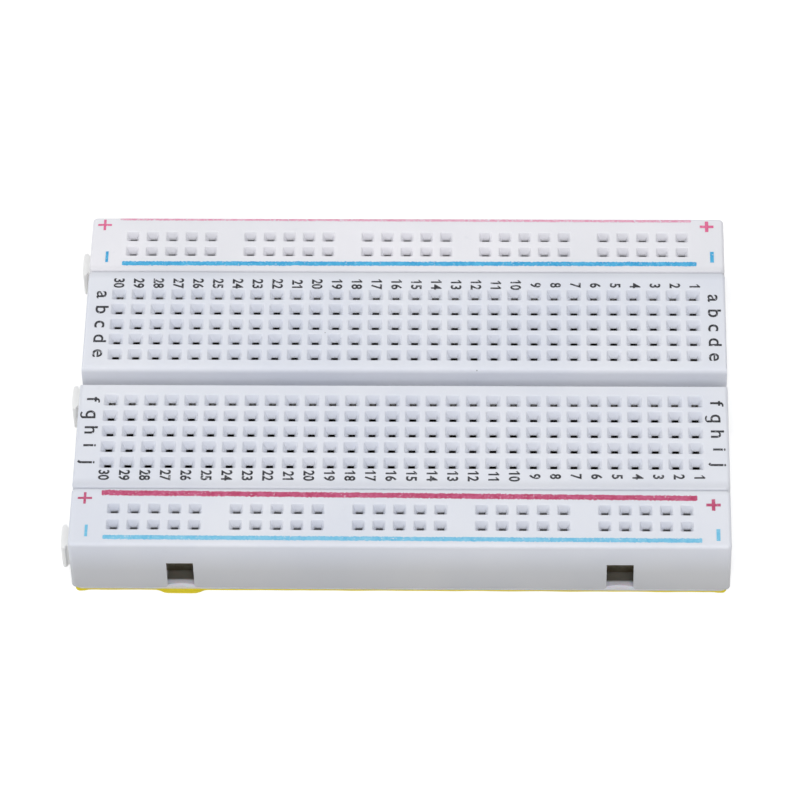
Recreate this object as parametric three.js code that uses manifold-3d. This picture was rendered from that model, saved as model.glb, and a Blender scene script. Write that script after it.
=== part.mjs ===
// Half-size solderless breadboard: a terminal block between two power rails, joined by dovetails, with
// spring clips inside and a foam tape with its release liner underneath.
//
// Millimetres, +Z up. The origin is on the underside of the liner, at the middle of the board. Column 1 is
// towards +X, row a and the rear power rail are towards +Y.

import * as THREE from "three";
import { mergeVertices } from "three/addons/utils/BufferGeometryUtils.js";
import Module from "manifold-3d";

const wasm = await Module();
wasm.setup();

// Hole pattern
const PITCH = 2.54; // between holes, both ways
const COLUMNS = 30; // terminals along each bank
const ROWS = 5; // holes in one terminal
const DIP_SPAN = 3; // pitches across the channel, from the last row of one bank to the first of the other
const RAIL_ROWS = 2; // bus lines in one power rail
const RAIL_GROUPS = 5; // groups of holes along a bus line
const GROUP_HOLES = 5; // holes in one group; one pitch is left out between groups

// Mouldings
const BODY_HEIGHT = 8.5;
const END_MARGIN = 4.17; // outermost column to the end face
const BLOCK_MARGIN = 3.88; // outermost row of the block to its long face
const RAIL_MARGIN = 3.33; // outermost row of a rail to its long face
const SEAM_GAP = 0.2; // between the block and a rail
const ROOF = 1.2; // thickness over the clip slots
const OUTER_WALL = 1.1;
const RIB = 0.8; // least wall between a slot and a pocket in the underside
const TOP_FILLET = 0.45;
const CORNER_RADIUS = 0.6;
const CHANNEL_WIDTH = 2.6;
const CHANNEL_DEPTH = 3.2;

// Holes
const BLOCK_FUNNEL = 1.85; // square opening at the top of a terminal hole
const RAIL_FUNNEL = 1.6; // the same in a power rail
const THROAT = 0.85; // square opening at the bottom of every funnel

// Dovetails: tabs on the left and rear faces, notches in the right and front faces
const TAB_ROOT = 3; // width where the tab leaves the wall
const TAB_HEAD = 3.8; // width of the outer part
const TAB_NECK = 0.55; // how far the root width reaches
const TAB_FLARE = 0.2; // further reach over which it widens
const TAB_REACH = 1.3; // how far the tab stands out in all
const TAB_LIFT = 0.5; // underside of the moulding to the foot of the tab
const TAB_CLEARANCE = 0.17; // notch around the tab, each side
const NOTCH_HEADROOM = 0.4; // top of the tab to the top of the notch
const NOTCH_ROOF = 0.4; // top of a notch to the level of the channel's floor
const TAB_SPACING = 54.6; // between the two tabs of a long face

// Clips
const SLOT_WIDTH = 1.64;
const CLIP_CLEARANCE = 0.1; // clip to slot wall, each side
const CLIP_END_CLEARANCE = 0.05; // clip to the end of its slot
const CLIP_HEADROOM = 0.3; // tip of a clip to the roof
const SHEET = 0.2; // clip metal
const SPINE_HEIGHT = 1.7; // up to where the fingers part
const FINGER_WIDTH = 2; // along the row
const TIP_GAP = 0.12; // between the two fingers of a contact

// Tape
const FOAM_THICKNESS = 0.8;
const FOAM_INSET = 0.45; // edge of the foam inside the board's outline
const LINER_THICKNESS = 0.12;
const LINER_INSET = 0.3;

const CLIP_COLUMNS = 25; // columns, from column 1 on, that have their terminal clips here

const OVERSHOOT = 1; // how far a cutter runs past the face that it opens
const ARC_STEPS = 1;

// Derived sizes
const BODY_LENGTH = (COLUMNS - 1) * PITCH + 2 * END_MARGIN;
const BANK_SPAN = (ROWS - 1) * PITCH;
const BANK_CENTRE = (DIP_SPAN * PITCH + BANK_SPAN) / 2;
const BLOCK_DEPTH = 2 * (BANK_CENTRE + BANK_SPAN / 2 + BLOCK_MARGIN);
const RAIL_DEPTH = (RAIL_ROWS - 1) * PITCH + 2 * RAIL_MARGIN;
const RAIL_CENTRE = BLOCK_DEPTH / 2 + SEAM_GAP + RAIL_DEPTH / 2;
const BOARD_DEPTH = 2 * RAIL_CENTRE + RAIL_DEPTH;
const RAIL_STEPS = RAIL_GROUPS * (GROUP_HOLES + 1) - 1; // hole places along a bus line, empty ones included
const BUS_SPAN = (RAIL_STEPS - 1) * PITCH;
const UNDERSIDE = LINER_THICKNESS + FOAM_THICKNESS; // underside of the mouldings
const CHANNEL_FLOOR = BODY_HEIGHT - CHANNEL_DEPTH;
const TAB_HEIGHT = CHANNEL_FLOOR - NOTCH_ROOF - NOTCH_HEADROOM - TAB_LIFT;
const SLOT_HEIGHT = BODY_HEIGHT - ROOF;
const SLOT_END = FINGER_WIDTH / 2 + CLIP_END_CLEARANCE; // outermost row to the end of its slot
const CLIP_WIDTH = SLOT_WIDTH - 2 * CLIP_CLEARANCE;
const CLIP_HEIGHT = SLOT_HEIGHT - CLIP_HEADROOM;

const columnX = (column) => ((COLUMNS + 1) / 2 - column) * PITCH;
const stepX = (step) => (step - (RAIL_STEPS - 1) / 2) * PITCH;
const centred = (count) => Array.from({ length: count }, (_, i) => (i - (count - 1) / 2) * PITCH);
const rowOffsets = centred(ROWS);
const lineOffsets = centred(RAIL_ROWS);
const holeSteps = Array.from({ length: RAIL_STEPS }, (_, i) => i).filter(
  (i) => (i + 1) % (GROUP_HOLES + 1) !== 0,
);

const plastic = new THREE.MeshStandardMaterial({ color: 0xf2f3f6, roughness: 0.45, metalness: 0 });
const metal = new THREE.MeshStandardMaterial({ color: 0xb9b4a6, roughness: 0.3, metalness: 1 });
const foam = new THREE.MeshStandardMaterial({ color: 0xf4f4f0, roughness: 0.95, metalness: 0 });
const liner = new THREE.MeshStandardMaterial({ color: 0xe6d200, roughness: 0.6, metalness: 0 });

// Solids

function solid(geometry) {
  geometry.deleteAttribute("normal");
  geometry.deleteAttribute("uv");
  const merged = mergeVertices(geometry);
  const mesh = new wasm.Mesh({
    numProp: 3,
    vertProperties: merged.attributes.position.array,
    triVerts: new Uint32Array(merged.index.array),
  });
  return new wasm.Manifold(mesh);
}

function geometryOf(manifold) {
  const { vertProperties, triVerts } = manifold.getMesh();
  const geometry = new THREE.BufferGeometry();
  geometry.setAttribute("position", new THREE.BufferAttribute(vertProperties, 3));
  geometry.setIndex(new THREE.BufferAttribute(triVerts, 1));
  geometry.computeVertexNormals();
  return geometry;
}

const cutAll = (body, cutters) => cutters.reduce((left, cutter) => left.subtract(cutter), body);
const joinAll = (bodies) => bodies.reduce((whole, body) => whole.add(body));

// A box of size x, y, z, centred on (atX, atY), with its underside at bottom.
function box(x, y, z, atX, atY, bottom) {
  return solid(new THREE.BoxGeometry(x, y, z).translate(atX, atY, bottom + z / 2));
}

// A prism of length along one axis, centred on it: along Z the shape is (x, y), along Y (x, z), along X (y, z).
function prism(shape, length, axis) {
  const geometry = new THREE.ExtrudeGeometry(shape, {
    depth: length,
    bevelEnabled: false,
    curveSegments: ARC_STEPS,
  });
  geometry.translate(0, 0, -length / 2);
  const x = new THREE.Vector3(1, 0, 0);
  const y = new THREE.Vector3(0, 1, 0);
  const z = new THREE.Vector3(0, 0, 1);
  const turn = new THREE.Matrix4();
  if (axis === "x") turn.makeBasis(y, z, x);
  if (axis === "y") turn.makeBasis(x, z, y.clone().negate());
  return geometry.applyMatrix4(turn);
}

function roundedRectangle(width, depth, radius) {
  const [x, y, quarter] = [width / 2 - radius, depth / 2 - radius, Math.PI / 2];
  const shape = new THREE.Shape();
  shape.absarc(x, -y, radius, -quarter, 0);
  shape.absarc(x, y, radius, 0, quarter);
  shape.absarc(-x, y, radius, quarter, 2 * quarter);
  shape.absarc(-x, -y, radius, 2 * quarter, 3 * quarter);
  shape.closePath();
  return shape;
}

// A section that stands on 0 and has its two upper corners filleted.
function filletedSection(width, height, radius) {
  const [x, top, quarter] = [width / 2, height - radius, Math.PI / 2];
  const shape = new THREE.Shape();
  shape.moveTo(-x, 0);
  shape.lineTo(x, 0);
  shape.absarc(x - radius, top, radius, 0, quarter);
  shape.absarc(radius - x, top, radius, quarter, 2 * quarter);
  shape.closePath();
  return shape;
}

// The outside of a moulding, without its dovetails.
function blank(length, depth) {
  const plan = prism(roundedRectangle(length, depth, CORNER_RADIUS), BODY_HEIGHT, "z");
  plan.translate(0, 0, BODY_HEIGHT / 2);
  const across = prism(filletedSection(depth, BODY_HEIGHT, TOP_FILLET), length + OVERSHOOT, "x");
  const along = prism(filletedSection(length, BODY_HEIGHT, TOP_FILLET), depth + OVERSHOOT, "y");
  return solid(plan).intersect(solid(across)).intersect(solid(along));
}

// A square funnel through the roof, from THROAT at the slot to size at the top, with its taper carried on
// past both faces.
function funnel(size, atX, atY) {
  const past = 0.1;
  const widen = ((size - THROAT) / ROOF) * past;
  const [upper, lower] = [size + widen, THROAT - widen].map((side) => side / Math.SQRT2);
  const geometry = new THREE.CylinderGeometry(upper, lower, ROOF + 2 * past, 4);
  geometry.rotateY(Math.PI / 4);
  geometry.rotateX(Math.PI / 2);
  geometry.translate(atX, atY, BODY_HEIGHT - ROOF / 2);
  return solid(geometry);
}

// The dovetail's outline: it leaves a wall at x = 0 and runs from start to end, towards -x. grow widens it
// for the notch.
function dovetailShape(grow, start, end) {
  const root = TAB_ROOT / 2 + grow;
  const head = TAB_HEAD / 2 + grow;
  const neck = grow - TAB_NECK;
  const shoulder = neck - TAB_FLARE;
  const shape = new THREE.Shape();
  shape.moveTo(start, -root);
  shape.lineTo(start, root);
  shape.lineTo(neck, root);
  shape.lineTo(shoulder, head);
  shape.lineTo(end, head);
  shape.lineTo(end, -head);
  shape.lineTo(shoulder, -head);
  shape.lineTo(neck, -root);
  shape.closePath();
  return shape;
}

// Turned about Z and moved to where the wall that the tab leaves stands.
function dovetail(shape, height, bottom, turn, atX, atY) {
  const geometry = prism(shape, height, "z");
  geometry.translate(0, 0, bottom + height / 2);
  geometry.rotateZ(turn);
  return solid(geometry.translate(atX, atY, 0));
}

// Where a moulding's tabs leave it: [turn, x, y] for the left face and twice for the rear face.
function tabPlaces(length, depth) {
  const side = TAB_SPACING / 2;
  return [
    [0, -length / 2, 0],
    [-Math.PI / 2, -side, depth / 2],
    [-Math.PI / 2, side, depth / 2],
  ];
}

function tabs(length, depth) {
  const shape = dovetailShape(0, OUTER_WALL / 2, -TAB_REACH);
  return tabPlaces(length, depth).map(([turn, x, y]) =>
    dovetail(shape, TAB_HEIGHT, TAB_LIFT, turn, x, y),
  );
}

// A notch takes the tab of a neighbour that stands SEAM_GAP away, so it is a tab's place moved to the
// opposite face and outwards by the gap. It is open at the underside, and goes through all that stands
// within wall of the face.
function notches(length, depth, wall) {
  const end = -Math.max(TAB_REACH, SEAM_GAP + wall) - TAB_CLEARANCE;
  const shape = dovetailShape(TAB_CLEARANCE, OVERSHOOT, end);
  const height = OVERSHOOT + TAB_LIFT + TAB_HEIGHT + NOTCH_HEADROOM;
  return tabPlaces(length, depth).map(([turn, x, y]) => {
    const [atX, atY] = turn ? [x, -y - SEAM_GAP] : [-x + SEAM_GAP, y];
    return dovetail(shape, height, -OVERSHOOT, turn, atX, atY);
  });
}

// The pocket in the underside between the outer wall and the ribs around the slots.
function reliefRing(length, depth, coreLength, coreDepth) {
  const height = SLOT_HEIGHT + OVERSHOOT;
  const wall = 2 * OUTER_WALL;
  const outer = box(length - wall, depth - wall, height, 0, 0, -OVERSHOOT);
  return outer.subtract(box(coreLength, coreDepth, height + OVERSHOOT, 0, 0, -2 * OVERSHOOT));
}

function terminalBlock() {
  const coreLength = (COLUMNS - 1) * PITCH + SLOT_WIDTH + 2 * RIB;
  const coreDepth = 2 * (BANK_CENTRE + BANK_SPAN / 2 + SLOT_END + RIB);
  const keelHeight = CHANNEL_FLOOR - ROOF;
  const keelWidth = 2 * (BANK_CENTRE - BANK_SPAN / 2 - SLOT_END - RIB);
  const channel = box(BODY_LENGTH * 2, CHANNEL_WIDTH, BODY_HEIGHT, 0, 0, CHANNEL_FLOOR);
  const channelWalls = box(BODY_LENGTH, CHANNEL_WIDTH + 2 * RIB, BODY_HEIGHT, 0, 0, keelHeight);
  const cutters = [
    channel,
    box(coreLength - 2 * RIB, keelWidth, keelHeight + OVERSHOOT, 0, 0, -OVERSHOOT),
    reliefRing(BODY_LENGTH, BLOCK_DEPTH, coreLength, coreDepth).subtract(channelWalls),
    ...notches(BODY_LENGTH, BLOCK_DEPTH, OUTER_WALL),
  ];
  for (const bank of [-BANK_CENTRE, BANK_CENTRE]) {
    for (let column = 1; column <= COLUMNS; column++) {
      const x = columnX(column);
      const length = BANK_SPAN + 2 * SLOT_END;
      cutters.push(box(SLOT_WIDTH, length, SLOT_HEIGHT + OVERSHOOT, x, bank, -OVERSHOOT));
      cutters.push(...rowOffsets.map((offset) => funnel(BLOCK_FUNNEL, x, bank + offset)));
    }
  }
  const body = joinAll([blank(BODY_LENGTH, BLOCK_DEPTH), ...tabs(BODY_LENGTH, BLOCK_DEPTH)]);
  return geometryOf(cutAll(body, cutters));
}

// A rail's notches open onto the slot of its nearer bus clip, which makes the deep hollows of the front face.
function powerRail() {
  const slotLength = BUS_SPAN + 2 * SLOT_END;
  const coreDepth = (RAIL_ROWS - 1) * PITCH + SLOT_WIDTH + 2 * RIB;
  const faceToSlot = RAIL_MARGIN - SLOT_WIDTH / 2;
  const cutters = [
    reliefRing(BODY_LENGTH, RAIL_DEPTH, slotLength + 2 * RIB, coreDepth),
    ...notches(BODY_LENGTH, RAIL_DEPTH, faceToSlot),
  ];
  for (const line of lineOffsets) {
    cutters.push(box(slotLength, SLOT_WIDTH, SLOT_HEIGHT + OVERSHOOT, 0, line, -OVERSHOOT));
    cutters.push(...holeSteps.map((step) => funnel(RAIL_FUNNEL, stepX(step), line)));
  }
  const body = joinAll([blank(BODY_LENGTH, RAIL_DEPTH), ...tabs(BODY_LENGTH, RAIL_DEPTH)]);
  return geometryOf(cutAll(body, cutters));
}

// A folded strip along Y that stands on its spine. Its two walls lean together into pairs of fingers, which
// are parted above the spine everywhere but at the contacts.
function clip(length, contacts) {
  const [foot, tip] = [CLIP_WIDTH / 2, TIP_GAP / 2];
  const shape = new THREE.Shape();
  shape.moveTo(-foot, 0);
  shape.lineTo(foot, 0);
  shape.lineTo(tip + SHEET, CLIP_HEIGHT);
  shape.lineTo(tip, CLIP_HEIGHT);
  shape.lineTo(foot - SHEET, SHEET);
  shape.lineTo(SHEET - foot, SHEET);
  shape.lineTo(-tip, CLIP_HEIGHT);
  shape.lineTo(-tip - SHEET, CLIP_HEIGHT);
  shape.closePath();
  const edges = contacts.flatMap((y) => [y - FINGER_WIDTH / 2, y + FINGER_WIDTH / 2]);
  const gaps = [];
  for (let i = 1; i + 1 < edges.length; i += 2) {
    const [from, to] = [edges[i], edges[i + 1]];
    gaps.push(box(SLOT_WIDTH, to - from, CLIP_HEIGHT, 0, (from + to) / 2, SPINE_HEIGHT));
  }
  return cutAll(solid(prism(shape, length, "y")), gaps);
}

function terminalClip() {
  return geometryOf(clip(BANK_SPAN + FINGER_WIDTH, rowOffsets));
}

function busClip() {
  const strip = clip(BUS_SPAN + FINGER_WIDTH, holeSteps.map(stepX));
  return geometryOf(strip).rotateZ(Math.PI / 2);
}

// A sheet under the whole board, inset from its outline.
function sheet(thickness, inset) {
  const outline = roundedRectangle(BODY_LENGTH - 2 * inset, BOARD_DEPTH - 2 * inset, CORNER_RADIUS);
  return prism(outline, thickness, "z");
}

// The board

const board = new THREE.Group();

function add(name, geometry, material, x, y, z) {
  const mesh = new THREE.Mesh(geometry, material);
  mesh.name = name;
  mesh.position.set(x, y, z);
  board.add(mesh);
}

const rails = [
  ["front", -1],
  ["rear", 1],
];

add("release_liner", sheet(LINER_THICKNESS, LINER_INSET), liner, 0, 0, LINER_THICKNESS / 2);
add("foam_tape", sheet(FOAM_THICKNESS, FOAM_INSET), foam, 0, 0, LINER_THICKNESS + FOAM_THICKNESS / 2);
add("terminal_block", terminalBlock(), plastic, 0, 0, UNDERSIDE);

const railGeometry = powerRail();
const busGeometry = busClip();
for (const [place, side] of rails) {
  const y = side * RAIL_CENTRE;
  add(`${place}_power_rail`, railGeometry, plastic, 0, y, UNDERSIDE);
  add(`${place}_bus_clip_minus`, busGeometry, metal, 0, y + lineOffsets[0], UNDERSIDE);
  add(`${place}_bus_clip_plus`, busGeometry, metal, 0, y + lineOffsets[1], UNDERSIDE);
}

const clipGeometry = terminalClip();
for (const [place, side] of rails) {
  for (let column = 1; column <= CLIP_COLUMNS; column++) {
    const name = `${place}_terminal_clip_${String(column).padStart(2, "0")}`;
    add(name, clipGeometry, metal, columnX(column), side * BANK_CENTRE, UNDERSIDE);
  }
}

export default board;
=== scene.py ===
"""The looks of a half-size solderless breadboard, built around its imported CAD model. Metres, +Z up."""

import math

import bmesh
import bpy
from mathutils import Matrix, Vector, noise


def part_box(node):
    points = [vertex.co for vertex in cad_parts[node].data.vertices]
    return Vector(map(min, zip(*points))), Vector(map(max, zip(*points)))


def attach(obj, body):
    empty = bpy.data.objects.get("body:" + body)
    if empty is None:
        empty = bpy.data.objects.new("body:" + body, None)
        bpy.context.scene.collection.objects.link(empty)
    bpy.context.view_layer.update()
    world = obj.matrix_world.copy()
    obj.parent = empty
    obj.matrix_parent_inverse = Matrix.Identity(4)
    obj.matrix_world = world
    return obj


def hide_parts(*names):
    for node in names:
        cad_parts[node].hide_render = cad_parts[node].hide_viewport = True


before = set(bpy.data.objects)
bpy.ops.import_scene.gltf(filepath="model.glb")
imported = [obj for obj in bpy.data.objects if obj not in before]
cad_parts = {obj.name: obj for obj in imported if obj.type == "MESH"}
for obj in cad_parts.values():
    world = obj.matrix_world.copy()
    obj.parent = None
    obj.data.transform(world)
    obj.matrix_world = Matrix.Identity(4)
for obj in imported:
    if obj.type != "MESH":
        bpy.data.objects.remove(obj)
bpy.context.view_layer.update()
collection = bpy.context.scene.collection

MM = 0.001

# Sizes read from the frame

block_low, block_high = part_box("terminal_block")
front_low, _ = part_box("front_power_rail")
rear_low, rear_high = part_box("rear_power_rail")
foam_low, foam_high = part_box("foam_tape")
liner_low, liner_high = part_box("release_liner")
clip_low, clip_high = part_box("front_terminal_clip_01")

TOP = block_high.z
UNDERSIDE = block_low.z
HEIGHT = TOP - UNDERSIDE
HALF_LENGTH = block_high.x
LENGTH = 2 * HALF_LENGTH
BLOCK_DEPTH = -2 * block_low.y
RAIL_DEPTH = rear_high.y - rear_low.y - (block_high.y + block_low.y)
TAB_REACH = -block_low.x - HALF_LENGTH
RAIL_CENTRE = -front_low.y - RAIL_DEPTH / 2
SEAM_GAP = RAIL_CENTRE - RAIL_DEPTH / 2 - BLOCK_DEPTH / 2

# Sizes that the frame doesn't state

PITCH = 2.54 * MM
COLUMNS = 30
ROWS = 5
DIP_SPAN = 3
RAIL_GROUPS = 5
GROUP_HOLES = 5
RAIL_STEPS = RAIL_GROUPS * (GROUP_HOLES + 1) - 1
BANK_SPAN = (ROWS - 1) * PITCH
BANK_CENTRE = (DIP_SPAN * PITCH + BANK_SPAN) / 2

ROOF = 1.2 * MM
OUTER_WALL = 1.1 * MM
RIB = 0.8 * MM
TOP_FILLET = 0.45 * MM
FOOT_CHAMFER = 0.08 * MM
CORNER_RADIUS = 0.6 * MM
CHANNEL_WIDTH = 2.6 * MM
CHANNEL_DEPTH = 3.2 * MM
CHANNEL_FILLET = 0.25 * MM
CHANNEL_REAR_EASE = 0.75 * MM
CHANNEL_FRONT_EASE = 0.2 * MM
BLOCK_FUNNEL = 1.85 * MM
RAIL_FUNNEL = 1.6 * MM
THROAT = 0.85 * MM
THROAT_LAND = 0.05 * MM
THROAT_CORNER = 0.1 * MM
CORNER_GROWTH = 0.3  # how fast a funnel's corner radius grows with its half width
MOUTH_ROUND = 0.18 * MM
SLOT_WIDTH = 1.64 * MM
SLOT_END = 1.05 * MM

TAB_ROOT = 3 * MM
TAB_HEAD = 3.8 * MM
TAB_NECK = 0.55 * MM
TAB_FLARE = 0.2 * MM
TAB_LIFT = 0.5 * MM
TAB_HEIGHT = 4 * MM
TAB_CLEARANCE = 0.17 * MM
NOTCH_HEADROOM = 0.4 * MM
TAB_SPACING = 54.6 * MM
NOTCH_FOOT = 0.45 * MM

SEAM_FILL = 0.15 * MM  # how far the block grows into each seam, since real mouldings nearly touch

SHEET = 0.2 * MM
SPINE_HEIGHT = 1.7 * MM
SPINE_BEND = 0.14 * MM
FINGER_WIDTH = 2 * MM
FINGER_CORNER = 0.3 * MM
TIP_GAP = 0.12 * MM
TIP_SPREAD = 0.8  # the finger tips' spread as a share of the spine's
PINCH_LEVEL = 0.8  # the pinch's height as a share of the clip's

SLOT_TOP = UNDERSIDE + HEIGHT - ROOF
BANK_REACH = BANK_SPAN / 2 + SLOT_END
BLOCK_CORE_LENGTH = (COLUMNS - 1) * PITCH + SLOT_WIDTH + 2 * RIB
BLOCK_CORE_DEPTH = 2 * (BANK_CENTRE + BANK_REACH + RIB)
KEEL = BANK_CENTRE - BANK_REACH - RIB  # half width of the pocket under the channel
RAIL_REACH = (RAIL_STEPS - 1) / 2 * PITCH + SLOT_END
RAIL_CORE_LENGTH = 2 * (RAIL_REACH + RIB)
RAIL_CORE_DEPTH = PITCH + SLOT_WIDTH + 2 * RIB

PAST = 1 * MM  # how far a cutter runs past the face that it opens
LIP = 0.003 * MM  # how far above the face the rounding of a mouth ends
SMOOTH_ANGLE = math.radians(32)


def centred(count):
    """Places a pitch apart, about zero."""
    return [(i - (count - 1) / 2) * PITCH for i in range(count)]


column_x = {n: ((COLUMNS + 1) / 2 - n) * PITCH for n in range(1, COLUMNS + 1)}
hole_x = [x for i, x in enumerate(centred(RAIL_STEPS)) if (i + 1) % (GROUP_HOLES + 1)]


# Meshes


class Shells:
    """Closed shells gathered into one mesh."""

    def __init__(self):
        self.points = []
        self.faces = []

    def loft(self, rings):
        """Skins loops that rise from the first to the last, each counter-clockwise from above."""
        base, count = len(self.points), len(rings[0])
        self.points += [p for ring in rings for p in ring]
        self.faces.append([base + i for i in reversed(range(count))])
        for k in range(len(rings) - 1):
            lower, upper = base + k * count, base + (k + 1) * count
            for i in range(count):
                j = (i + 1) % count
                self.faces.append((lower + i, lower + j, upper + j, upper + i))
        top = base + (len(rings) - 1) * count
        self.faces.append([top + i for i in range(count)])

    def box(self, low, high):
        corners = [(low[0], low[1]), (high[0], low[1]), (high[0], high[1]), (low[0], high[1])]
        self.loft([[(x, y, z) for x, y in corners] for z in (low[2], high[2])])

    def prism_x(self, outline, start, end):
        """outline holds (y, z) points, counter-clockwise seen from +X."""
        self.loft([[(x, y, z) for y, z in outline] for x in (start, end)])

    def mesh(self, name):
        mesh = bpy.data.meshes.new(name)
        mesh.from_pydata([tuple(p) for p in self.points], [], self.faces)
        mesh.update()
        return mesh

    def object(self, name):
        obj = bpy.data.objects.new(name, self.mesh(name))
        collection.objects.link(obj)
        return obj


def rounded_rectangle(width, depth, radius, steps=3, centre=(0, 0)):
    """Counter-clockwise points with steps + 1 on each corner."""
    points = []
    for quarter, (sx, sy) in enumerate([(1, -1), (1, 1), (-1, 1), (-1, -1)]):
        cx = centre[0] + sx * (width / 2 - radius)
        cy = centre[1] + sy * (depth / 2 - radius)
        for k in range(steps + 1):
            a = (quarter - 1 + k / steps) * math.pi / 2
            points.append((cx + radius * math.cos(a), cy + radius * math.sin(a)))
    return points


def quarter_turn(steps):
    """Sines and cosines of steps + 1 angles from zero to a right angle."""
    angles = [k / steps * math.pi / 2 for k in range(steps + 1)]
    return [(math.sin(a), math.cos(a)) for a in angles]


def apply_modifiers(obj):
    """Bakes obj's modifiers into its mesh."""
    depsgraph = bpy.context.evaluated_depsgraph_get()
    depsgraph.update()
    mesh = bpy.data.meshes.new_from_object(obj.evaluated_get(depsgraph))
    obj.modifiers.clear()
    obj.data = mesh
    return obj


def combine(obj, shells, operation):
    """Joins or cuts obj with the shells, which are then removed."""
    other = shells.object("cutter")
    modifier = obj.modifiers.new("combine", "BOOLEAN")
    modifier.operation = operation
    modifier.solver = "MANIFOLD"
    modifier.object = other
    apply_modifiers(obj)
    bpy.data.objects.remove(other)


def shade(obj):
    """Smooth faces with sharp edges kept, and flat faces left flat beside their fillets."""
    mesh = bmesh.new()
    mesh.from_mesh(obj.data)
    for face in mesh.faces:
        face.smooth = True
    for edge in mesh.edges:
        edge.smooth = len(edge.link_faces) == 2 and edge.calc_face_angle(0) < SMOOTH_ANGLE
    mesh.to_mesh(obj.data)
    mesh.free()
    weighted = obj.modifiers.new("weighted", "WEIGHTED_NORMAL")
    weighted.keep_sharp = True
    weighted.weight = 100
    return obj


def finish_piece(obj, name, body, material, replaces=()):
    """Names a piece, and gives it its material and its body, and hides the CAD nodes that it stands for."""
    obj.name = name
    obj.data.name = name
    obj.data.materials.clear()
    obj.data.materials.append(material)
    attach(obj, body)
    if replaces:
        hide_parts(*replaces)
    return obj


# Mouldings


def blank(length, depth):
    """A moulding's outer shape, with a chamfered foot and a filleted top."""
    levels = [(UNDERSIDE, FOOT_CHAMFER), (UNDERSIDE + FOOT_CHAMFER, 0)]
    for sine, cosine in quarter_turn(6):
        levels.append((TOP - TOP_FILLET * (1 - sine), TOP_FILLET * (1 - cosine)))
    rings = []
    for z, inset in levels:
        radius = CORNER_RADIUS - inset
        outline = rounded_rectangle(length - 2 * inset, depth - 2 * inset, radius, 5)
        rings.append([(x, y, z) for x, y in outline])
    shells = Shells()
    shells.loft(rings)
    return shells.object("blank")


def funnel(shells, size, x, y):
    """A square funnel with a straight land at its throat and a rounded mouth."""
    land = SLOT_TOP + THROAT_LAND
    slope = (size - THROAT) / 2 / (TOP - land)
    lean = math.atan(slope)
    round_start = TOP - MOUTH_ROUND * (1 - math.sin(lean))
    centre = THROAT / 2 + slope * (round_start - land) + MOUTH_ROUND * math.cos(lean)
    levels = [(SLOT_TOP - THROAT_LAND, THROAT / 2), (land, THROAT / 2)]
    steps = 4
    for k in range(steps + 1):
        a = lean + (math.pi / 2 - lean) * k / steps
        levels.append((TOP + LIP - MOUTH_ROUND * (1 - math.sin(a)), centre - MOUTH_ROUND * math.cos(a)))
    levels.append((TOP + THROAT_LAND, centre))
    rings = []
    for z, side in levels:
        radius = THROAT_CORNER + CORNER_GROWTH * (side - THROAT / 2)
        outline = rounded_rectangle(2 * side, 2 * side, radius, 3, (x, y))
        rings.append([(px, py, z) for px, py in outline])
    shells.loft(rings)


def tab_places(depth):
    """Turn and place (x, y) of each tab: one on the left face and two on the rear face."""
    side = TAB_SPACING / 2
    left = (0, -HALF_LENGTH, 0)
    return [left, (-math.pi / 2, -side, depth / 2), (-math.pi / 2, side, depth / 2)]


def place(points, turn, x, y):
    """Points turned about Z and moved."""
    matrix = Matrix.Translation((x, y, 0)) @ Matrix.Rotation(turn, 4, "Z")
    return [matrix @ Vector(p) for p in points]


def tabs(depth):
    """Tabs with eased edges and a slightly crowned head."""
    shells = Shells()
    ease, soft, crown = 0.12 * MM, 0.25 * MM, 0.07 * MM
    foot = UNDERSIDE + TAB_LIFT
    levels = [(foot, ease), (foot + ease, 0), (foot + TAB_HEIGHT - ease, 0), (foot + TAB_HEIGHT, ease)]
    for turn, x, y in tab_places(depth):
        rings = []
        for z, inset in levels:
            root, head = TAB_ROOT / 2 - inset, TAB_HEAD / 2 - inset
            tip = TAB_REACH - inset
            half = [
                (OUTER_WALL / 2, root),
                (-TAB_NECK, root),
                (-TAB_NECK - TAB_FLARE, head),
                (-tip + soft, head),
                (-tip + crown, head - soft),
                (-tip, head / 2),
            ]
            outline = [(px, -py) for px, py in reversed(half)] + half
            rings.append(place([(px, py, z) for px, py in outline], turn, x, y))
        shells.loft(rings)
    return shells


def notches(shells, depth, wall):
    """Each notch takes a neighbour's tab, and goes through all that stands within wall of the face."""
    levels = [(UNDERSIDE - PAST, NOTCH_FOOT)]
    steps = 4
    for k, (sine, _) in enumerate(quarter_turn(steps)):
        levels.append((UNDERSIDE + NOTCH_FOOT * k / steps, NOTCH_FOOT * (1 - sine)))
    levels.append((UNDERSIDE + TAB_LIFT + TAB_HEIGHT + NOTCH_HEADROOM, 0))
    neck = TAB_CLEARANCE - TAB_NECK
    end = -SEAM_GAP - wall - TAB_CLEARANCE
    for turn, x, y in tab_places(depth):
        px, py = (x, -y - SEAM_GAP) if turn else (-x + SEAM_GAP, y)
        rings = []
        for z, flare in levels:
            root = TAB_ROOT / 2 + TAB_CLEARANCE + flare
            head = max(TAB_HEAD / 2 + TAB_CLEARANCE, root + 0.01 * MM)
            half = [(PAST, root), (neck, root), (neck - TAB_FLARE, head), (end, head)]
            outline = [(a, -b) for a, b in reversed(half)] + half
            rings.append(place([(a, b, z) for a, b in outline], turn, px, py))
        shells.loft(rings)


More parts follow.
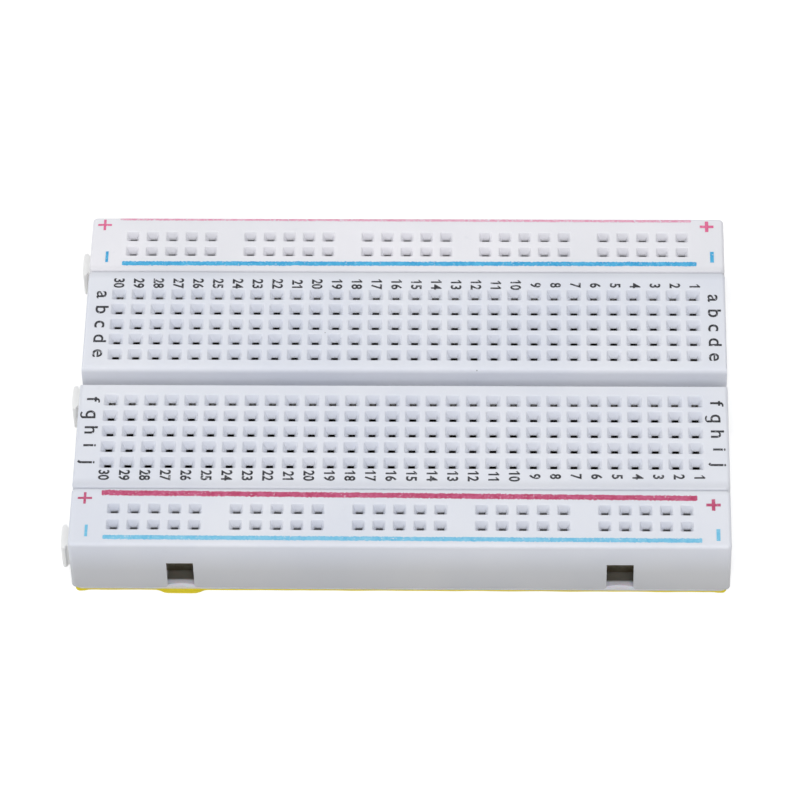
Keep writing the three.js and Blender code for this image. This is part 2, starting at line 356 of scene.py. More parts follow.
def channel_outline():
    """The channel's section, its bottom rounded and its rear upper edge eased more than the front one."""
    half, floor = CHANNEL_WIDTH / 2, TOP - CHANNEL_DEPTH
    arc = quarter_turn(6)

    def side(ease):
        points = []
        for sine, cosine in arc:
            z = floor + CHANNEL_FILLET * (1 - cosine)
            points.append((half - CHANNEL_FILLET + CHANNEL_FILLET * sine, z))
        for sine, cosine in arc:
            points.append((half + ease * (1 - cosine), TOP + LIP - ease * (1 - sine)))
        return points + [(half + ease, TOP + PAST)]

    return side(CHANNEL_REAR_EASE) + [(-y, z) for y, z in reversed(side(CHANNEL_FRONT_EASE))]


def side_pockets(shells, depth, core_depth):
    """Pockets between the core of slots and the long outer walls."""
    for side in (-1, 1):
        near, far = sorted((side * core_depth / 2, side * (depth / 2 - OUTER_WALL)))
        x = HALF_LENGTH - OUTER_WALL
        shells.box((-x, near, UNDERSIDE - PAST), (x, far, SLOT_TOP))


def end_pockets(core_length, depth, bridge, bridge_top):
    """Pockets at both ends, lower under a bridge of that half width."""
    shells = Shells()
    y, low = depth / 2 - OUTER_WALL - RIB / 4, UNDERSIDE - PAST
    outline = [(-y, low), (y, low), (y, SLOT_TOP)]
    if bridge:
        outline += [(bridge, SLOT_TOP), (bridge, bridge_top), (-bridge, bridge_top), (-bridge, SLOT_TOP)]
    outline.append((-y, SLOT_TOP))
    outer = HALF_LENGTH - OUTER_WALL
    for start, end in ((-outer, -core_length / 2), (core_length / 2, outer)):
        shells.prism_x(outline, start, end)
    return shells


def block_moulding():
    """The terminal block, a little deeper than in the CAD so that the seams nearly close."""
    obj = blank(LENGTH, BLOCK_DEPTH + 2 * SEAM_FILL)
    combine(obj, tabs(BLOCK_DEPTH), "UNION")
    slots, holes = Shells(), Shells()
    for bank in (-BANK_CENTRE, BANK_CENTRE):
        for x in column_x.values():
            low = (x - SLOT_WIDTH / 2, bank - BANK_REACH, UNDERSIDE - PAST)
            slots.box(low, (x + SLOT_WIDTH / 2, bank + BANK_REACH, SLOT_TOP))
            for offset in centred(ROWS):
                funnel(holes, BLOCK_FUNNEL, x, bank + offset)
    side_pockets(slots, BLOCK_DEPTH, BLOCK_CORE_DEPTH)
    keel_top = TOP - CHANNEL_DEPTH - ROOF
    keel_end = BLOCK_CORE_LENGTH / 2 - RIB
    slots.box((-keel_end, -KEEL, UNDERSIDE - PAST), (keel_end, KEEL, keel_top))
    combine(obj, slots, "DIFFERENCE")
    ends = end_pockets(BLOCK_CORE_LENGTH, BLOCK_DEPTH, CHANNEL_WIDTH / 2 + RIB, keel_top)
    combine(obj, ends, "DIFFERENCE")
    holes.prism_x(channel_outline(), -LENGTH, LENGTH)
    notches(holes, BLOCK_DEPTH, OUTER_WALL)
    combine(obj, holes, "DIFFERENCE")
    return shade(obj)


def rail_moulding():
    """A power rail about its own middle, the same in front and behind."""
    obj = blank(LENGTH, RAIL_DEPTH)
    combine(obj, tabs(RAIL_DEPTH), "UNION")
    slots, holes = Shells(), Shells()
    for line in centred(2):
        low = (-RAIL_REACH, line - SLOT_WIDTH / 2, UNDERSIDE - PAST)
        slots.box(low, (RAIL_REACH, line + SLOT_WIDTH / 2, SLOT_TOP))
        for x in hole_x:
            funnel(holes, RAIL_FUNNEL, x, line)
    side_pockets(slots, RAIL_DEPTH, RAIL_CORE_DEPTH)
    combine(obj, slots, "DIFFERENCE")
    combine(obj, end_pockets(RAIL_CORE_LENGTH, RAIL_DEPTH, 0, 0), "DIFFERENCE")
    notches(holes, RAIL_DEPTH, (RAIL_DEPTH - PITCH - SLOT_WIDTH) / 2)
    combine(obj, holes, "DIFFERENCE")
    return shade(obj)


# Clips


def clip_profile():
    """Mid-sheet points (x, z) of the right half, and how many of them belong to the spine.

    They run along the spine's floor and up its wall, then up a finger that leans in to the pinch and flares
    out at its tip.
    """
    foot, height = (clip_high.x - clip_low.x) / 2 - SHEET / 2, clip_high.z - clip_low.z
    points = [(0, SHEET / 2), (foot - SPINE_BEND, SHEET / 2)]
    points += [(foot - 0.3 * SPINE_BEND, SHEET / 2 + 0.3 * SPINE_BEND), (foot, SHEET / 2 + SPINE_BEND)]
    points += [(foot, SPINE_HEIGHT * 0.6), (foot, SPINE_HEIGHT)]
    spine = len(points)
    pinch_x, pinch_z = TIP_GAP / 2 + SHEET / 2, height * PINCH_LEVEL
    steps = 6
    for k in range(1, steps + 1):
        t = k / steps
        ease = t * t * (3 - 2 * t)
        points.append((foot + (pinch_x - foot) * ease, SPINE_HEIGHT + (pinch_z - SPINE_HEIGHT) * t))
    tip_x, tip_z = foot * TIP_SPREAD, height - SHEET / 2
    steps = 4
    for k in range(1, steps + 1):
        t = k / steps
        points.append((pinch_x + (tip_x - pinch_x) * t * t, pinch_z + (tip_z - pinch_z) * t))
    return points, spine


def clip_mesh(name, contacts):
    """A folded sheet along Y with a pair of fingers at each contact, standing on z = 0."""
    half, spine = clip_profile()
    profile = [(-x, z) for x, z in reversed(half[1:])] + half
    middle = len(half) - 1
    lines = []
    for y in contacts:
        edge = FINGER_WIDTH / 2
        lines += [y - edge, y - edge + FINGER_CORNER, y + edge - FINGER_CORNER, y + edge]
    points, faces = [], []
    last = len(profile) - 1
    for i, (x, z) in enumerate(profile):
        for j, y in enumerate(lines):
            corner = i in (0, last) and j % 4 in (0, 3)
            points.append((x, y, z - (0.2 * MM if corner else 0)))
    for i in range(last):
        for j in range(len(lines) - 1):
            finger = abs(i + 0.5 - middle) > spine - 1
            if finger and j % 4 == 3:
                continue
            a = i * len(lines) + j
            faces.append((a, a + len(lines), a + len(lines) + 1, a + 1))
    mesh = bpy.data.meshes.new(name)
    mesh.from_pydata(points, [], faces)
    obj = bpy.data.objects.new(name, mesh)
    collection.objects.link(obj)
    sheet = obj.modifiers.new("sheet", "SOLIDIFY")
    sheet.thickness = SHEET
    sheet.offset = 0
    sheet.use_even_offset = True
    apply_modifiers(obj)
    return shade(obj)


# Tape

FOAM_BULGE = 0.14 * MM
NOTCH_BULGE = 0.3 * MM
FOAM_BELLY = 0.1 * MM
FOAM_RAGGED = 0.03 * MM
MOUTH = TAB_ROOT / 2 + TAB_CLEARANCE  # half width of a notch's opening

LINER_BEVEL = 0.02 * MM
LINER_MARGIN = 0.05 * MM
LINER_WANDER = 0.06 * MM
LINER_STEP = 0.5 * MM

# Where the liner spills past the foam in front: (reach, middle, half width, steepness), in millimetres
LINER_SPILLS = ((0.55, -27.4, 2.6, 8), (0.22, -40.3, 1.1, 4), (0.12, 40, 0.8, 4))


def open_pockets():
    """Rectangles (x0, x1, y0, y1) of the mouldings' undersides where nothing presses on the foam."""
    wall = HALF_LENGTH - OUTER_WALL
    keel_end = BLOCK_CORE_LENGTH / 2 - RIB
    found = [(-keel_end, keel_end, -KEEL, KEEL)]
    mouldings = [
        (0, BLOCK_DEPTH, BLOCK_CORE_LENGTH, BLOCK_CORE_DEPTH),
        (-RAIL_CENTRE, RAIL_DEPTH, RAIL_CORE_LENGTH, RAIL_CORE_DEPTH),
        (RAIL_CENTRE, RAIL_DEPTH, RAIL_CORE_LENGTH, RAIL_CORE_DEPTH),
    ]
    for y, depth, core, core_depth in mouldings:
        inner, outer = core_depth / 2, depth / 2 - OUTER_WALL
        found += [(-wall, wall, y + inner, y + outer), (-wall, wall, y - outer, y - inner)]
        found += [(core / 2, wall, y - inner, y + inner), (-wall, -core / 2, y - inner, y + inner)]
    return found


def grid_lines(edges, half, spare):
    """Sorted lines through the edges, from -half to half, with none closer than spare."""
    lines = [-half]
    for value in sorted(edges):
        if value - lines[-1] > spare and half - value > spare:
            lines.append(value)
    return lines + [half]


def foam_lines(pockets):
    """The grid lines of the foam's faces, closer where a pocket or a notch begins."""
    fractions = (0, 0.15, 0.5, 0.85, 1)
    xs = [a + (b - a) * t for a, b, _, _ in pockets for t in fractions]
    ys = [a + (b - a) * t for _, _, a, b in pockets for t in fractions]
    for side in (-1, 1):
        xs += [side * TAB_SPACING / 2 + MOUTH * k / 4 for k in range(-5, 6)]
    ys += [-foam_high.y + k * OUTER_WALL / 6 for k in range(1, 8)]
    xs += [k * PITCH for k in range(-16, 17)]
    ys += [k * PITCH for k in range(-10, 11)]
    spare = 0.05 * MM
    return grid_lines(xs, foam_high.x, spare), grid_lines(ys, foam_high.y, spare)


def foam_plan(x, y, out=0.0):
    """A grid point with the slab's corners rounded and its edge moved out a little."""
    half_x, half_y, radius = foam_high.x, foam_high.y, CORNER_RADIUS
    dx, dy = abs(x) - half_x + radius, abs(y) - half_y + radius
    if dx > 0 and dy > 0:
        scale = max(dx, dy) / math.hypot(dx, dy)
        x = math.copysign(half_x - radius + dx * scale, x)
        y = math.copysign(half_y - radius + dy * scale, y)
    return x * (1 + out / half_x), y * (1 + out / half_y)


def foam_swell(x, y, pockets):
    """How far the foam rises at a point into an open pocket or a front notch."""
    height = 0
    for x0, x1, y0, y1 in pockets:
        u, v = (2 * x - x0 - x1) / (x1 - x0), (2 * y - y0 - y1) / (y1 - y0)
        if abs(u) < 1 and abs(v) < 1:
            height = max(height, FOAM_BULGE * (1 - u**4) * (1 - v**4))
    for side in (-1, 1):
        u = (x - side * TAB_SPACING / 2) / MOUTH
        v = (y + foam_high.y) / OUTER_WALL
        if abs(u) < 1 and v < 1:
            height = max(height, NOTCH_BULGE * (1 - u * u) ** 0.7 * (1 - v * v))
    return height


def foam_pad():
    """A die-cut foam slab with a slightly bellied and ragged edge, closed between its two faces."""
    pockets = open_pockets()
    xs, ys = foam_lines(pockets)
    columns, rows = len(xs), len(ys)
    size = columns * rows
    shells = Shells()
    points, faces = shells.points, shells.faces
    for upper in (False, True):
        for y in ys:
            for x in xs:
                z = foam_high.z + foam_swell(x, y, pockets) if upper else foam_low.z
                points.append((*foam_plan(x, y), z))
    for j in range(rows - 1):
        for i in range(columns - 1):
            a = j * columns + i
            faces.append((a, a + columns, a + columns + 1, a + 1))
            b = size + a
            faces.append((b, b + 1, b + columns + 1, b + columns))
    loop = [(i, 0) for i in range(columns)]
    loop += [(columns - 1, j) for j in range(1, rows)]
    loop += [(i, rows - 1) for i in reversed(range(columns - 1))]
    loop += [(0, j) for j in reversed(range(1, rows - 1))]
    belts = [[j * columns + i for i, j in loop]]
    for k in range(1, 4):
        t = k / 4
        belt = []
        for i, j in loop:
            ragged = noise.noise(Vector((xs[i], ys[j], t * MM)) * 900) * FOAM_RAGGED
            px, py = foam_plan(xs[i], ys[j], FOAM_BELLY * math.sin(math.pi * t) + ragged)
            low, high = points[j * columns + i][2], points[size + j * columns + i][2]
            points.append((px, py, low + (high - low) * t))
            belt.append(len(points) - 1)
        belts.append(belt)
    belts.append([size + j * columns + i for i, j in loop])
    count = len(loop)
    for lower, upper in zip(belts, belts[1:]):
        for i in range(count):
            j = (i + 1) % count
            faces.append((lower[i], lower[j], upper[j], upper[i]))
    return shade(shells.object("foam"))


def divided(outline, step):
    """A closed outline with points about a step apart."""
    dense = []
    for k, start in enumerate(outline):
        end = outline[(k + 1) % len(outline)]
        pieces = max(1, round(math.dist(start, end) / step))
        for t in range(pieces):
            x = start[0] + (end[0] - start[0]) * t / pieces
            y = start[1] + (end[1] - start[1]) * t / pieces
            dense.append((x, y))
    return dense


def liner_spill(x, y):
    """How far the liner's edge lies in front of its outline."""
    if y >= 0:
        return 0
    spill = 0
    for reach, middle, half, steepness in LINER_SPILLS:
        spill += reach * MM * math.exp(-((x - middle * MM) / (half * MM)) ** steepness)
    return spill * (-y / liner_high.y) ** 8


def liner_sheet():
    """A thin sheet with a knife-cut edge that wanders a little."""
    outline = rounded_rectangle(2 * liner_high.x, 2 * liner_high.y, CORNER_RADIUS, 6)
    outline = divided(outline, LINER_STEP)
    low, high = liner_low.z, liner_high.z
    rings = []
    levels = [(low, LINER_BEVEL), (low + LINER_BEVEL, 0), (high - LINER_BEVEL, 0), (high, LINER_BEVEL)]
    for z, inset in levels:
        ring = []
        for x, y in outline:
            wander = noise.noise(Vector((x, y, 0)) * 260) * LINER_WANDER - LINER_MARGIN - inset
            shrink = 1 + wander / liner_high.y
            ring.append((x * shrink, y * shrink - liner_spill(x, y), z))
        rings.append(ring)
    shells = Shells()
    shells.loft(rings)
    return shade(shells.object("liner"))


# Printing

INK = 0.012 * MM  # how far the ink stands proud
SINK = 0.01 * MM  # how far it reaches into the plastic
INK_HALF = (INK + SINK) / 2

LINE_STEP = 0.1 * MM
LINE_RAGGED = 0.17  # these three are shares of a line's width
LINE_WAVY = 0.04
LINE_TAPER = 0.15

PLUS_LENGTH = 1.78 * MM
PLUS_WIDTH = 1.82 * MM
MINUS_LENGTH = 1.85 * MM
SIGN_STROKES = (0.32 * MM, 0.44 * MM)  # at the left end and at the right end
MINUS_EXTRA = 0.04 * MM

DIGIT_HEIGHT = 1.27 * MM
DIGIT_ADVANCE = 0.84 * MM
DIGIT_BOLD = 0.024
LETTER_HEIGHT = 1.2 * MM
LETTER_SQUEEZE = 1.13
LETTER_BOLD = 0.01
ASCENDER_SHARE = 0.65  # how much is kept of what stands above the small letters

# Where the lines run and the signs stand, in millimetres: start, end and width, or left and right place.
# The lines end short of the moulding's ends, and the signs stand between.
MARKS = {
    "front": {
        "red": ((-37.2, -18.95), (36.86, -19.5), 0.8),
        "blue": ((-36.7, -26.0), (37.36, -26.2), 0.65),
        "plus": ((-39.24, -19.8), (38.84, -20.56)),
        "minus": ((-38.8, -24.97), (39.36, -25.3)),
    },
    "rear": {
        "red": ((-37.4, 26.9), (36.8, 26.72), 0.42),
        "blue": ((-36.8, 19.2), (37.4, 19.3), 0.7),
        "plus": ((-39.36, 25.86), (38.8, 25.76)),
        "minus": ((-38.8, 20.33), (39.4, 20.5)),
    },
}

# The middle of each row letter from a to j at the left end, in millimetres
LETTER_PLACES = (13.8, 11.24, 8.8, 6.4, 3.9, -3.85, -6.25, -8.8, -11.3, -13.96)


def millimetres(point):
    return tuple(value * MM for value in point)


def rail_surface(y):
    """Height of a rail's upper face, which falls away over the fillets of its long edges."""
    over = max(0, abs(abs(y) - RAIL_CENTRE) - RAIL_DEPTH / 2 + TOP_FILLET)
    return TOP - TOP_FILLET + math.sqrt(max(0, TOP_FILLET**2 - over**2))


def ink_line(shells, start, end, width, seed):
    """A printed line along a rail from start to end (x, y), with slightly ragged edges."""
    rings = []
    count = round((end[0] - start[0]) / LINE_STEP)
    for k in range(count + 1):
        t = k / count
        x = start[0] + (end[0] - start[0]) * t
        y = start[1] + (end[1] - start[1]) * t
        taper = LINE_TAPER * width if k in (0, count) else 0
        edges = []
        for side in (-1, 1):
            ragged = noise.noise(Vector((x * 6000, side * 7.3, seed))) * LINE_RAGGED * width
            wavy = noise.noise(Vector((x * 400, side * 3.1, seed + 50))) * LINE_WAVY * width
            edges.append(y + side * (width / 2 - taper) + ragged + wavy)
        across = [edges[0] + (edges[1] - edges[0]) * i / 4 for i in range(5)]
        lower = [(x, y, rail_surface(y) - SINK) for y in across]
        rings.append(lower + [(x, y, rail_surface(y) + INK) for y in reversed(across)])
    shells.loft(rings)


def ink_outline(shells, outline):
    """A flat printed shape on the upper face."""
    shells.loft([[(x, y, TOP - SINK) for x, y in outline], [(x, y, TOP + INK) for x, y in outline]])


def plus_sign(shells, x, y, stroke):
    a, b, s = PLUS_LENGTH / 2, PLUS_WIDTH / 2, stroke / 2
    outline = [(-s, -b), (s, -b), (s, -s), (a, -s), (a, s), (s, s)]
    outline += [(s, b), (-s, b), (-s, s), (-a, s), (-a, -s), (-s, -s)]
    ink_outline(shells, [(x + px, y + py) for px, py in outline])


def minus_sign(shells, x, y, stroke):
    a, s = MINUS_LENGTH / 2, (stroke + MINUS_EXTRA) / 2
    ink_outline(shells, [(x + px, y + py) for px, py in [(-s, -a), (s, -a), (s, a), (-s, a)]])


def extent(mesh, axis):
    """Lowest and highest coordinate along an axis."""
    values = [v.co[axis] for v in mesh.vertices]
    return min(values), max(values)


def add_shells(mesh, shells):
    """Adds closed shells to a mesh."""
    extra = shells.mesh("extra")
    build = bmesh.new()
    build.from_mesh(mesh)
    build.from_mesh(extra)
    build.to_mesh(mesh)
    build.free()
    bpy.data.meshes.remove(extra)


def text_mesh(text, size, squeeze=1.0, bold=0.0):
    """The text's outline as a closed shell, with its left end at x = 0 and its baseline at y = 0."""
    curve = bpy.data.curves.new("text", "FONT")
    curve.body = text
    curve.size = size
    curve.resolution_u = 4
    curve.extrude = INK_HALF
    curve.offset = bold * size
    obj = bpy.data.objects.new("text", curve)
    collection.objects.link(obj)
    depsgraph = bpy.context.evaluated_depsgraph_get()
    depsgraph.update()
    mesh = bpy.data.meshes.new_from_object(obj.evaluated_get(depsgraph))
    bpy.data.objects.remove(obj)
    bpy.data.curves.remove(curve)
    mesh.transform(Matrix.Diagonal((squeeze, 1, 1, 1)))
    return mesh


def text_extent(axis, text, size=1.0, squeeze=1.0, bold=0.0):
    mesh = text_mesh(text, size, squeeze, bold)
    found = extent(mesh, axis)
    bpy.data.meshes.remove(mesh)
    return found


def hooked_g(size, squeeze, bold):
    """A g of one storey: a q whose tail is shortened and carried round in a hook."""
    mesh = text_mesh("q", size, squeeze, bold)
    for vertex in mesh.vertices:
        if vertex.co.y < -0.02 * size:
            vertex.co.y *= 0.72
    low, high = extent(mesh, 0)
    rise = extent(mesh, 1)[0] + 0.06 * size
    outer, stroke = (high - low) * 0.48, (0.085 + 2 * bold) * size
    inner, centre = outer - stroke, high - outer
    steps = 8
    rings = []
    for k in range(steps + 1):
        a = -math.pi * 0.8 * k / steps
        c, s = math.cos(a), math.sin(a) * 0.7
        near, far = (centre + inner * c, rise + inner * s), (centre + outer * c, rise + outer * s)
        rings.append([(*near, -INK_HALF), (*near, INK_HALF), (*far, INK_HALF), (*far, -INK_HALF)])
    shells = Shells()
    shells.loft(rings)
    add_shells(mesh, shells)
    return mesh


def flagged_number(text, size, squeeze, bold):
    """A number whose ones have flags, since the font draws them as bare bars."""
    mesh = text_mesh(text, size, squeeze, bold)
    bar = text_extent(0, "1", size, squeeze, bold)[0]
    top, stroke, drop, reach = extent(mesh, 1)[1], 0.11 * size, 0.17 * size, 0.15 * size
    shells = Shells()
    for k, character in enumerate(text):
        if character == "1":
            start = bar + k * DIGIT_ADVANCE
            left, right = start - reach, start + stroke / 2
            outline = [(left, top - drop - stroke), (right, top - stroke), (right, top), (left, top - drop)]
            shells.loft([[(x, y, z) for x, y in outline] for z in (-INK_HALF, INK_HALF)])
    add_shells(mesh, shells)
    return mesh


def printed_text(name, items, size, squeeze, bold, shoulder=1.0):
    """One mesh of texts (text, baseline x, middle y), all turned so that they read towards -Y.

    What stands above the shoulder is shortened, for ascenders.
    """
    build = bmesh.new()
    for text, x, y in items:
        if text == "g":
            mesh = hooked_g(size, squeeze, bold)
        elif "1" in text:
            mesh = flagged_number(text, size, squeeze, bold)
        else:
            mesh = text_mesh(text, size, squeeze, bold)
        for vertex in mesh.vertices:
            if vertex.co.y > shoulder:
                vertex.co.y = shoulder + (vertex.co.y - shoulder) * ASCENDER_SHARE
        low, high = extent(mesh, 0)
        middle = Matrix.Translation((-(low + high) / 2, 0, 0))
        turn = Matrix.Rotation(-math.pi / 2, 4, "Z")
        mesh.transform(Matrix.Translation((x, y, TOP + (INK - SINK) / 2)) @ turn @ middle)
        build.from_mesh(mesh)
        bpy.data.meshes.remove(mesh)
    bmesh.ops.remove_doubles(build, verts=build.verts, dist=0.0005 * MM)
    mesh = bpy.data.meshes.new(name)
    build.to_mesh(mesh)
    build.free()
    obj = bpy.data.objects.new(name, mesh)
    collection.objects.link(obj)
    return obj


def column_numbers():
    """The numbers along both edges of the block, spread a little more widely than the columns."""
    size = DIGIT_HEIGHT / text_extent(1, "H")[1]
    advance = text_extent(0, "00")[1] - text_extent(0, "0")[1]
    items = []
    for n, x in column_x.items():
        along = (n - 1) / (COLUMNS - 1)
        rear_x, front_x = x * 1.0054 + 0.07 * MM, x * 1.009 + 0.05 * MM
        items.append((str(n), rear_x - DIGIT_HEIGHT / 2, (15.55 + 0.25 * along) * MM))
        items.append((str(n), front_x - DIGIT_HEIGHT / 2, -16.1 * MM))
    return printed_text("column_numbers", items, size, DIGIT_ADVANCE / (size * advance), DIGIT_BOLD)


def row_letters():
    """The letters at both ends of the block. Each was placed by itself, as the real print is uneven."""
    items = []
    for letter, middle in zip("abcdefghij", LETTER_PLACES):
        left_x = -39.7 if middle > 0 else -39.92
        right_x = 38.97 if letter in "ij" else 38.75
        right_y = middle - (0.1 if letter == "j" else 0.35)
        items.append((letter, left_x * MM, middle * MM))
        items.append((letter, right_x * MM, right_y * MM))
    size = LETTER_HEIGHT / text_extent(1, "x")[1]
    return printed_text("row_letters", items, size, LETTER_SQUEEZE, LETTER_BOLD, LETTER_HEIGHT)


# Materials


class Paint:
    """A principled material and short calls for the nodes that drive it."""

    def __init__(self, name, **sockets):
        self.material = bpy.data.materials.new(name)
        self.material.use_nodes = True
        self.tree = self.material.node_tree
        self.shader = self.tree.nodes["Principled BSDF"]
        for socket, value in sockets.items():
            self.shader.inputs[socket.replace("_", " ")].default_value = value
        self.place = self.tree.nodes.new("ShaderNodeTexCoord").outputs["Object"]

    def link(self, output, target):
        self.tree.links.new(output, target)

    def noise(self, size, detail=3, roughness=0.5, stretch=(1, 1, 1)):
        """Noise whose features are about size across, in metres."""
        node = self.tree.nodes.new("ShaderNodeTexNoise")
        node.inputs["Scale"].default_value = 1 / size
        node.inputs["Detail"].default_value = detail
        node.inputs["Roughness"].default_value = roughness
        mapping = self.tree.nodes.new("ShaderNodeMapping")
        mapping.inputs["Scale"].default_value = stretch
        self.link(self.place, mapping.inputs["Vector"])
        self.link(mapping.outputs["Vector"], node.inputs["Vector"])
        return node.outputs["Fac"]

    def cells(self, size):
        """Distance from the middle of cells of about that size."""
        node = self.tree.nodes.new("ShaderNodeTexVoronoi")
        node.inputs["Scale"].default_value = 1 / size
        self.link(self.place, node.inputs["Vector"])
        return node.outputs["Distance"]

    def ramp(self, value, *stops):
        """stops are (position, colour or grey)."""
        node = self.tree.nodes.new("ShaderNodeValToRGB")
        elements = node.color_ramp.elements
        while len(elements) < len(stops):
            elements.new(0.5)
        for element, (position, colour) in zip(elements, stops):
            element.position = position
            element.color = colour if isinstance(colour, tuple) else (colour, colour, colour, 1)
        self.link(value, node.inputs["Fac"])
        return node.outputs["Color"]

    def coordinate(self, axis):
        node = self.tree.nodes.new("ShaderNodeSeparateXYZ")
        self.link(self.place, node.inputs[0])
        return node.outputs[axis]

    def distance(self, axis):
        """How far a point is from the middle along an axis, on either side."""
        node = self.tree.nodes.new("ShaderNodeMath")
        node.operation = "ABSOLUTE"
        self.link(self.coordinate(axis), node.inputs[0])
        return node.outputs[0]

    def beyond(self, value, limit):
        """1 where the value is above the limit, else 0."""
        node = self.tree.nodes.new("ShaderNodeMath")
        node.operation = "GREATER_THAN"
        node.inputs[1].default_value = limit
        self.link(value, node.inputs[0])
        return node.outputs[0]

    def span(self, value, low, high):
        """0 at low and 1 at high."""
        node = self.tree.nodes.new("ShaderNodeMapRange")
        node.inputs["From Min"].default_value = low
        node.inputs["From Max"].default_value = high
        self.link(value, node.inputs["Value"])
        return node.outputs["Result"]

    def mix(self, factor, first, second, blend="MIX"):
        """Mixes or multiplies two colours, each a socket or a fixed value."""
        node = self.tree.nodes.new("ShaderNodeMix")
        node.data_type = "RGBA"
        node.blend_type = blend
        for value, socket in ((factor, 0), (first, 6), (second, 7)):
            if isinstance(value, bpy.types.NodeSocket):
                self.link(value, node.inputs[socket])
            else:
                node.inputs[socket].default_value = value
        return node.outputs[2]

    def multiply(self, first, second):
        return self.mix(1.0, first, second, "MULTIPLY")

    def colour(self, output):
        self.link(output, self.shader.inputs["Base Color"])

    def roughness(self, output):
        self.link(output, self.shader.inputs["Roughness"])

    def bump(self, height, distance, strength=1.0):
        """Adds relief on top of what is there."""
        node = self.tree.nodes.new("ShaderNodeBump")
        node.inputs["Strength"].default_value = strength
        node.inputs["Distance"].default_value = distance
        self.link(height, node.inputs["Height"])
        previous = self.shader.inputs["Normal"].links
        if previous:
            self.link(previous[0].from_socket, node.inputs["Normal"])
        self.link(node.outputs["Normal"], self.shader.inputs["Normal"])


def rgb(red, green, blue):
    """A linear colour from 8-bit display values."""

    def linear(value):
        value /= 255
        return value / 12.92 if value <= 0.04045 else ((value + 0.055) / 1.055) ** 2.4

    return (linear(red), linear(green), linear(blue), 1)


def housing_material(name, shade, lighter):
    """White moulded plastic: faint cloudiness, a fine satin texture and a few dark specks.

    It has painted shade towards the foot and along the seams, and the tabs at the left end are painted near
    white as a painted highlight.
    """
    paint = Paint(name, Specular_IOR_Level=0.5, Subsurface_Weight=0.3, Subsurface_Scale=0.4 * MM)
    paint.shader.inputs["Subsurface Radius"].default_value = (1, 1, 1)
    cloud = paint.ramp(paint.noise(14 * MM, 3), (0.35, shade), (0.65, lighter))
    grime = paint.ramp(paint.noise(2.2 * MM, 6, 0.7), (0.62, 0.0), (0.8, 0.35))
    tinted = paint.mix(grime, cloud, rgb(214, 217, 226))
    # Painted shade: the plastic is darker the lower it lies, towards the foot.
    level = paint.span(paint.coordinate("Z"), UNDERSIDE, TOP)
    low, middle = (0.71, 0.7, 0.67, 1), (0.77, 0.76, 0.73, 1)
    painted_foot_shade = paint.ramp(level, (0, low), (0.4, middle), (0.8, 0.94), (0.97, 1.0))
    # Painted highlight: the tabs at the left end are painted near white, and take no painted shade.
    within = paint.beyond(paint.coordinate("X"), -HALF_LENGTH - 0.02 * MM)
    tinted = paint.mix(within, rgb(250, 250, 248), paint.multiply(tinted, painted_foot_shade))
    # Painted shade in the valleys along the seams between the mouldings.
    across = paint.span(paint.distance("Y"), BLOCK_DEPTH / 2 - 1.6 * MM, BLOCK_DEPTH / 2 + 1.4 * MM)
    painted_seam_shade = paint.ramp(across, (0.1, 1.0), (0.48, 0.87), (0.6, 0.87), (0.9, 1.0))
    tinted = paint.multiply(tinted, painted_seam_shade)
    specks = paint.ramp(paint.cells(5.2 * MM), (0.012, 0.75), (0.024, 0.0))
    paint.colour(paint.mix(specks, tinted, rgb(140, 138, 140)))
    paint.roughness(paint.ramp(paint.noise(0.9 * MM, 4), (0.3, 0.36), (0.7, 0.5)))
    paint.bump(paint.noise(0.16 * MM, 2), 0.003 * MM, 0.6)
    paint.bump(paint.noise(5 * MM, 2), 0.02 * MM, 0.4)
    return paint.material


def ink_material(name, colour, faded, worn=0.6):
    """Screen-printed ink: uneven in tone, and missing in small specks where the noise is above worn."""
    paint = Paint(name, Specular_IOR_Level=0.4)
    tone = paint.ramp(paint.noise(0.7 * MM, 5, 0.7), (0.32, colour), (0.7, faded))
    missing = paint.ramp(paint.noise(0.3 * MM, 5, 0.65), (worn, 0.0), (worn + 0.08, 0.8))
    paint.colour(paint.mix(missing, tone, rgb(228, 230, 238)))
    paint.roughness(paint.ramp(paint.noise(0.5 * MM), (0.3, 0.5), (0.7, 0.68)))
    paint.bump(paint.noise(0.12 * MM, 2), 0.002 * MM, 0.5)
    return paint.material


def metal_material():
    """Plated spring bronze with rolling lines along the strip and light stains."""
    paint = Paint("contact_metal", Metallic=1.0)
    stain = paint.ramp(paint.noise(1.6 * MM, 5, 0.6), (0.35, rgb(182, 176, 160)), (0.7, rgb(158, 149, 126)))
    paint.colour(stain)
    lines = paint.noise(0.12 * MM, 3, 0.6, (12, 0.5, 1))
    paint.roughness(paint.ramp(lines, (0.3, 0.22), (0.75, 0.42)))
    paint.bump(lines, 0.002 * MM, 0.5)
    return paint.material


def foam_material():
    """White closed-cell foam, with painted shade where it lies open inside the front notches."""
    paint = Paint("foam", Subsurface_Weight=0.25, Subsurface_Scale=0.5 * MM, Sheen_Weight=0.15)
    cell = paint.cells(0.16 * MM)
    pores = paint.ramp(cell, (0.0, rgb(204, 203, 212)), (0.35, rgb(230, 230, 240)))
    mottled = paint.mix(paint.ramp(paint.noise(5 * MM), (0.4, 0.0), (0.7, 0.25)), pores, rgb(205, 204, 200))
    # Painted shade: the foam deep inside the front notches is painted dark, rgb(96, 93, 84).
    depth = paint.span(paint.coordinate("Y"), foam_low.y, foam_low.y + 3 * MM)
    behind = paint.ramp(depth, (0.2, 0.0), (0.3, 1.0), (0.85, 1.0), (0.95, 0.0))
    across = paint.span(paint.distance("X"), TAB_SPACING / 2 - 2 * MOUTH, TAB_SPACING / 2 + 2 * MOUTH)
    within = paint.ramp(across, (0.2, 0.0), (0.24, 1.0), (0.76, 1.0), (0.8, 0.0))
    paint.colour(paint.mix(paint.multiply(behind, within), mottled, rgb(96, 93, 84)))
    paint.roughness(paint.ramp(paint.noise(0.4 * MM), (0.3, 0.85), (0.7, 0.98)))
    paint.bump(cell, 0.04 * MM, 0.8)
    return paint.material


